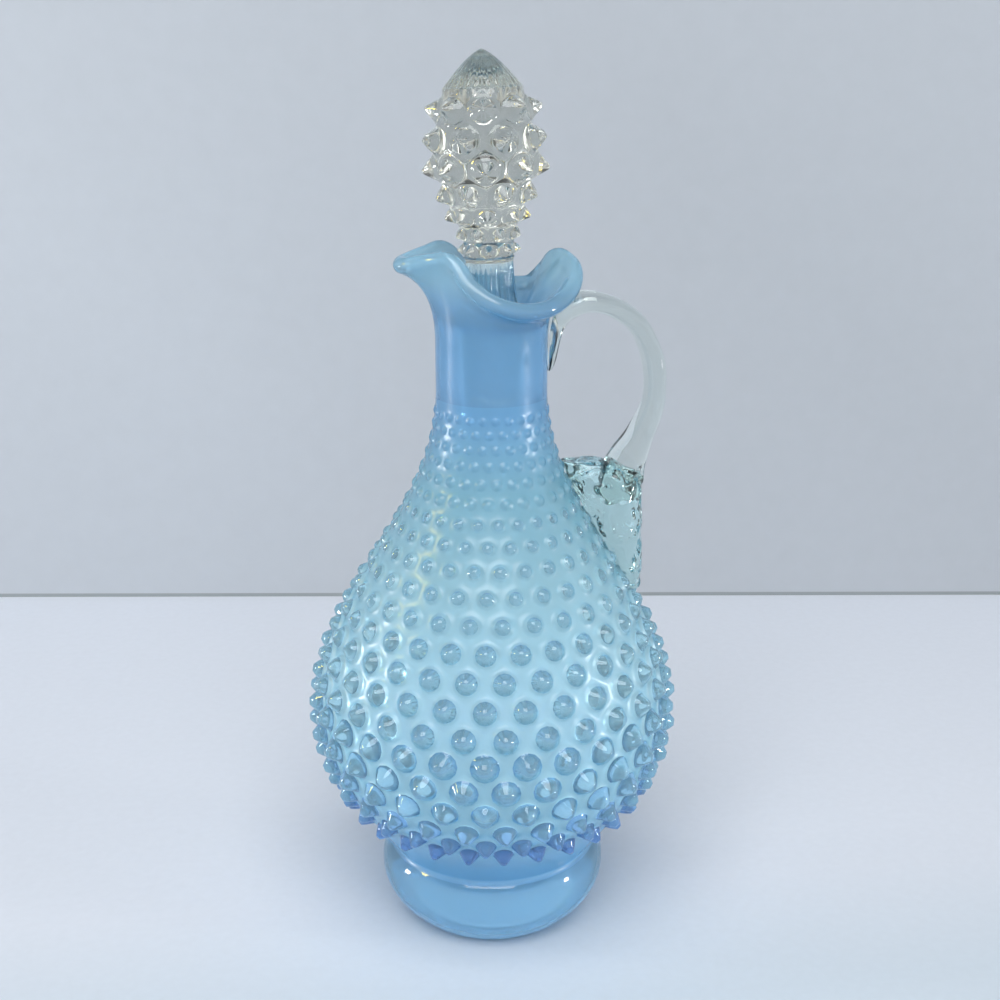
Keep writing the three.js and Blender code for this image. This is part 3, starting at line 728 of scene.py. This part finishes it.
# Handle: a rod whose rounded end sits in a wedge of glass on the shoulder
handleShape = dict(
    # Inner and outer point of each section as (radius, height), then its depth
    rod=[
        (21.1, 214.6, 20.3, 214.2, 5), (22.9, 217.5, 19.9, 217.5, 7), (23.8, 222, 19.5, 222, 10),
        (24.6, 226.5, 20, 232, 14), (26.6, 231.2, 20.5, 239, 16), (30, 234, 27, 242.2, 15.5),
        (34.5, 235.4, 33, 243, 14.5), (39.2, 234.6, 39.4, 242, 13.5), (44.2, 232.7, 46.2, 240, 12.5),
        (49.2, 228.6, 53.4, 235.2, 12.5), (52.8, 223, 58.8, 227.6, 12.5), (55.2, 216, 62.6, 218.4, 12.5),
        (55.8, 208, 63.8, 208, 12.5), (54.2, 200, 62.8, 199, 12.5), (51.4, 194, 60.4, 190.6, 12.8),
        (47.6, 188.4, 58.2, 184, 13.2), (43.4, 182.6, 56.8, 179.4, 14), (40.4, 177, 56, 174.4, 14.4),
        (39.8, 171.4, 55.4, 170, 13.6), (42, 167, 53, 166.4, 10.5), (45.2, 164.8, 50, 164.6, 5.5),
    ],
    # Height, outer reach and depth of each section
    lump=[
        (129.5, 54.2, 5), (132, 56, 9), (137, 56.3, 14), (144, 56.3, 17.5), (152, 56, 20), (160, 55.8, 21),
        (168, 55.6, 21), (174, 54.5, 19), (178, 50, 16), (180.6, 43, 11.5), (181.2, 40.5, 8),
    ],
    # Sections are rounded boxes of this power; waves are (depth, scale); smooth is a share
    around=24, rodPower=2.3, lumpPower=2.1, rodCuts=1, lumpCuts=2, smooth=0.3,
    rodWave=(0.6, 0.13), lumpWave=(1.3, 0.27), lumpTop=179,
    # It stays off the wall by gap and off the flaring lip by up to lipRoom, and hobs within hobNear dent it
    gap=0.4, lipRoom=9, lipRise=20, lipCurve=1.8, dentsUnder=190, hobNear=6, hobRoom=1.15,
)


def superSection(bm, ring, centre, across, depth, power):
    for k, vert in enumerate(ring):
        angle = 2 * pi * k / len(ring)
        bulge = [abs(v) ** (2 / power) * (1 if v > 0 else -1) for v in (cos(angle), sin(angle))]
        vert.co = centre + across * bulge[0] + Vector((0, depth / 2 * bulge[1], 0))


# Skins a closed form over a ladder of sections, each given as (centre, half across, depth)
def loft(bm, sections, around, power):
    ring = bmesh.ops.create_circle(bm, cap_ends=True, segments=around, radius=1)["verts"]
    superSection(bm, ring, *sections[0], power)
    edges = list(dict.fromkeys(edge for vert in ring for edge in vert.link_edges))
    for section in sections[1:]:
        made = bmesh.ops.extrude_edge_only(bm, edges=edges)["geom"]
        lower = ring
        edges = [item for item in made if isinstance(item, bmesh.types.BMEdge)
                 and not any(vert in lower for vert in item.verts)]
        fresh = {vert for edge in edges for vert in edge.verts}
        ring = [next(edge.other_vert(vert) for edge in vert.link_edges
                     if edge.other_vert(vert) in fresh) for vert in lower]
        superSection(bm, ring, *section, power)
    bmesh.ops.contextual_create(bm, geom=edges)


# How far a hob of the vessel reaches out of the wall at a point beside it
def hobReach(co):
    s = vesselShape
    arc = hobWall.arcAt(co.z)
    share = (atan2(co.y, co.x) - radians(s["turned"])) / (2 * pi) * s["columns"]
    most = 0
    for row, rowArc in enumerate(vesselRows):
        aside = share - row % 2 / 2
        radius, rise = hobSize(hobWall, vesselRows, rowArc, s["columns"], vesselHobs)
        across = (aside - round(aside)) * 2 * pi * hypot(co.x, co.y) / s["columns"]
        near = 1 - hypot(across, arc - rowArc) / (radius * handleShape["hobRoom"])
        most = max(most, rise * near)
    return most


def makeHandle():
    s = handleShape
    bm = bmesh.new()
    rod = []
    for innerR, innerZ, outerR, outerZ, depth in s["rod"]:
        a, b = Vector((innerR, 0, innerZ)), Vector((outerR, 0, outerZ))
        rod.append(((a + b) / 2, (b - a) / 2, depth))
    loft(bm, rod, s["around"], s["rodPower"])
    lump = []
    for z, reach, depth in s["lump"]:
        wallRadius = bodyRadius(z) + s["gap"]
        middle = Vector(((wallRadius + reach) / 2, 0, z))
        lump.append((middle, Vector(((reach - wallRadius) / 2, 0, 0)), depth))
    rodEdges = list(bm.edges)
    rodSkin = set(rodEdges)
    loft(bm, lump, s["around"], s["lumpPower"])
    lumpEdges = [edge for edge in bm.edges if edge not in rodSkin]
    bmesh.ops.subdivide_edges(bm, edges=lumpEdges, cuts=s["lumpCuts"], use_grid_fill=True, smooth=1)
    lumpSkin = set(bm.edges) - rodSkin
    bmesh.ops.subdivide_edges(bm, edges=rodEdges, cuts=s["rodCuts"], use_grid_fill=True, smooth=1)
    bmesh.ops.smooth_vert(bm, verts=bm.verts, factor=s["smooth"], use_axis_x=True, use_axis_y=True,
                          use_axis_z=True)
    # The glass is uneven, and nothing reaches into the wall or its hobs
    bm.normal_update()
    for vert in bm.verts:
        depth, scale = s["lumpWave"] if vert.co.z < s["lumpTop"] else s["rodWave"]
        vert.co += vert.normal * noise.noise(vert.co * scale) * depth
    for vert in bm.verts:
        radius = hypot(vert.co.x, vert.co.y)
        ground = bodyRadius(vert.co.z) + s["gap"]
        if vert.co.z > vesselShape["flare"]:
            rise = min(1, (vert.co.z - vesselShape["flare"]) / s["lipRise"])
            ground += s["lipRoom"] * rise ** s["lipCurve"]
        if vert.co.z < s["dentsUnder"] and radius < ground + s["hobNear"]:
            ground += hobReach(vert.co)
        if 0 < radius < ground:
            vert.co.x *= ground / radius
            vert.co.y *= ground / radius
    for face in bm.faces:
        face.material_index = int(all(edge in lumpSkin for edge in face.edges))
    piece = finishPiece(bm, "handleGlass", "decanter", "handle", "clear_glass", rodGlass, lumpGlass)
    smoother = piece.modifiers.new("round", "SUBSURF")
    smoother.levels = smoother.render_levels = 1
    return piece


handle = makeHandle()
print("handle made:", len(handle.data.polygons), "faces")

# Table and wall, in metres; shades are tints and where they start and end
room = dict(
    floorColor=(0.74, 0.78, 0.85), floorReach=1.6, floorRough=0.55, floorGrain=260,
    wallColor=(0.48, 0.51, 0.55), wallAt=0.322, wallReach=0.55, wallTop=0.62, wallRough=0.6, wallGrain=90,
    # The corner strip is a dark strip of painted shade where the wall meets the table
    cornerShadeColor=(0.30, 0.33, 0.34), cornerShadeTop=0.0022, cornerShadeRough=0.7, cornerShadeGrain=60,
    wallShade=(0.84, 0.84, 0.84), wallShadeFrom=(0, 0.42),
    # frontShade is painted shade and painted blue light on the table in front of the foot
    frontShade=(0.87, 0.92, 0.93), frontShadeFrom=(0, -0.07),
    gloss=0.25, mottle=0.03, bump=0.15, bumpDepth=0.0005,
)


# A flat sheet over two opposite corners; a standing one is clear seen from behind, so that it hides nothing
def stageSheet(name, low, high, color, rough, grain):
    turn = Matrix.Rotation(-radians(view["around"]), 3, "Z")
    bm = bmesh.new()
    bmesh.ops.create_grid(bm, x_segments=1, y_segments=1, size=0.5)
    standing = low[2] != high[2]
    if standing:
        bmesh.ops.rotate(bm, verts=bm.verts, cent=(0, 0, 0), matrix=Matrix.Rotation(pi / 2, 3, "X"))
    size = [abs(b - a) or 1 for a, b in zip(low, high)]
    bmesh.ops.scale(bm, vec=size, verts=bm.verts)
    bmesh.ops.translate(bm, vec=[(a + b) / 2 for a, b in zip(low, high)], verts=bm.verts)
    bmesh.ops.rotate(bm, verts=bm.verts, cent=(0, 0, 0), matrix=turn)
    mesh = bpy.data.meshes.new(name)
    bm.to_mesh(mesh)
    bm.free()
    sheet = bpy.data.objects.new(name, mesh)
    bpy.context.scene.collection.objects.link(sheet)
    material, tree, shader = principled(name)
    link = tree.links.new
    shader.inputs["Roughness"].default_value = rough
    shader.inputs["Specular IOR Level"].default_value = room["gloss"]
    place = tree.nodes.new("ShaderNodeTexCoord")
    speck = noiseOn(tree, place, grain, detail=4)
    mix = tree.nodes.new("ShaderNodeMix")
    mix.data_type = "RGBA"
    mix.inputs["A"].default_value = (*[c * (1 - room["mottle"]) for c in color], 1)
    mix.inputs["B"].default_value = (*[min(1, c * (1 + room["mottle"])) for c in color], 1)
    link(speck, mix.inputs["Factor"])
    split = tree.nodes.new("ShaderNodeSeparateXYZ")
    link(place.outputs["Object"], split.inputs[0])
    if standing:
        # The wall gets darker to the right and to the top
        slant = tree.nodes.new("ShaderNodeMath")
        link(split.outputs["X"], slant.inputs[0])
        link(split.outputs["Z"], slant.inputs[1])
        where, shade = mapRange(tree, slant.outputs["Value"], *room["wallShadeFrom"]), room["wallShade"]
    else:
        # Painted shade and painted blue light: in front of the foot the table is tinted darker and bluer, for
        # the blue light the glass throws there
        where, shade = mapRange(tree, split.outputs["Y"], *room["frontShadeFrom"]), room["frontShade"]
    link(tint(tree, where, mix.outputs["Result"], shade), shader.inputs["Base Color"])
    bumpOn(tree, speck, room["bump"], room["bumpDepth"], shader)
    if standing:
        facing = tree.nodes.new("ShaderNodeNewGeometry")
        clear = tree.nodes.new("ShaderNodeBsdfTransparent")
        either = tree.nodes.new("ShaderNodeMixShader")
        link(facing.outputs["Backfacing"], either.inputs["Fac"])
        link(shader.outputs["BSDF"], either.inputs[1])
        link(clear.outputs["BSDF"], either.inputs[2])
        link(either.outputs["Shader"], tree.nodes["Material Output"].inputs["Surface"])
    sheet.data.materials.append(material)


def makeRoom():
    reach, wide, back = room["floorReach"], room["wallReach"], room["wallAt"]
    behind = back + 0.001  # the wall stands just behind the line at its foot
    stageSheet("tableTop", (-reach, -reach, 0), (reach, reach, 0),
               room["floorColor"], room["floorRough"], room["floorGrain"])
    # A thin dark strip of painted shade lies in the crease where the wall meets the table
    stageSheet("wallCornerShade", (-wide, back, 0), (wide, back, room["cornerShadeTop"]),
               room["cornerShadeColor"], room["cornerShadeRough"], room["cornerShadeGrain"])
    stageSheet("backWall", (-wide, behind, 0), (wide, behind, room["wallTop"]),
               room["wallColor"], room["wallRough"], room["wallGrain"])


makeRoom()

# Soft studio light, in metres and watts; unseen names what a lamp doesn't show in or light
lights = [
    dict(name="overhead", at=(-0.04, -0.7, 1.25), aim=(0, 0, 0.1), size=(1.1, 0.9), power=16.2,
         color=(0.98, 0.99, 1.0)),
    dict(name="leftWindow", at=(-1.1, 0.05, 0.18), aim=(0, 0, 0.1), size=(0.12, 0.2), power=2.8,
         color=(1.0, 1.0, 1.0)),
    dict(name="rightWindow", at=(1.05, -0.25, 0.17), aim=(0, 0, 0.1), size=(0.1, 0.18), power=2.8,
         color=(1.0, 1.0, 1.0)),
    dict(name="warmLamp", at=(-1.0, -0.19, 0.64), aim=(0, 0, 0.18), size=(0.13, 0.13), power=1.6,
         color=(1.0, 0.75, 0.05), unseen=("diffuse",)),
    dict(name="frontFill", at=(0.0, -1.1, 0.25), aim=(0, 0, 0.06), size=(0.9, 0.3), power=1.5,
         color=(0.7, 0.85, 1.0), unseen=("glossy", "transmission")),
]
# The room's own light by height: pale round the horizon, dark over it round the overhead light
worldLight = dict(heights=[(0.0, 0.80), (0.5, 0.76), (0.66, 0.82), (0.78, 0.12), (1.0, 0.06)],
                  color=(0.98, 0.99, 1.0), strength=0.95)


def addLights():
    turn = Matrix.Rotation(-radians(view["around"]), 3, "Z")
    for each in lights:
        data = bpy.data.lights.new(each["name"], "AREA")
        data.shape = "RECTANGLE"
        data.size, data.size_y = each["size"]
        data.energy = each["power"]
        data.color = each["color"]
        lamp = bpy.data.objects.new(each["name"], data)
        bpy.context.scene.collection.objects.link(lamp)
        unseen = each.get("unseen", ())
        lamp.visible_diffuse = "diffuse" not in unseen
        lamp.visible_glossy = "glossy" not in unseen
        lamp.visible_transmission = "transmission" not in unseen
        lamp.location = turn @ Vector(each["at"])
        away = lamp.location - Vector(each["aim"])
        lamp.rotation_euler = away.to_track_quat("Z", "Y").to_euler()
    world = bpy.data.worlds.new("softRoom")
    bpy.context.scene.world = world
    world.use_nodes = True
    tree = world.node_tree
    place = tree.nodes.new("ShaderNodeTexCoord")
    split = tree.nodes.new("ShaderNodeSeparateXYZ")
    tree.links.new(place.outputs["Generated"], split.inputs[0])
    ramp = colorRamp(tree, worldLight["heights"], color=False)
    tree.links.new(mapRange(tree, split.outputs["Z"], -1, 1), ramp.inputs["Fac"])
    background = tree.nodes["Background"]
    background.inputs["Color"].default_value = (*worldLight["color"], 1)
    strength = multiply(tree, ramp.outputs["Color"], worldLight["strength"])
    tree.links.new(strength, background.inputs["Strength"])
    bpy.context.scene.view_settings.view_transform = "Standard"


addLights()
print("room and lights made")
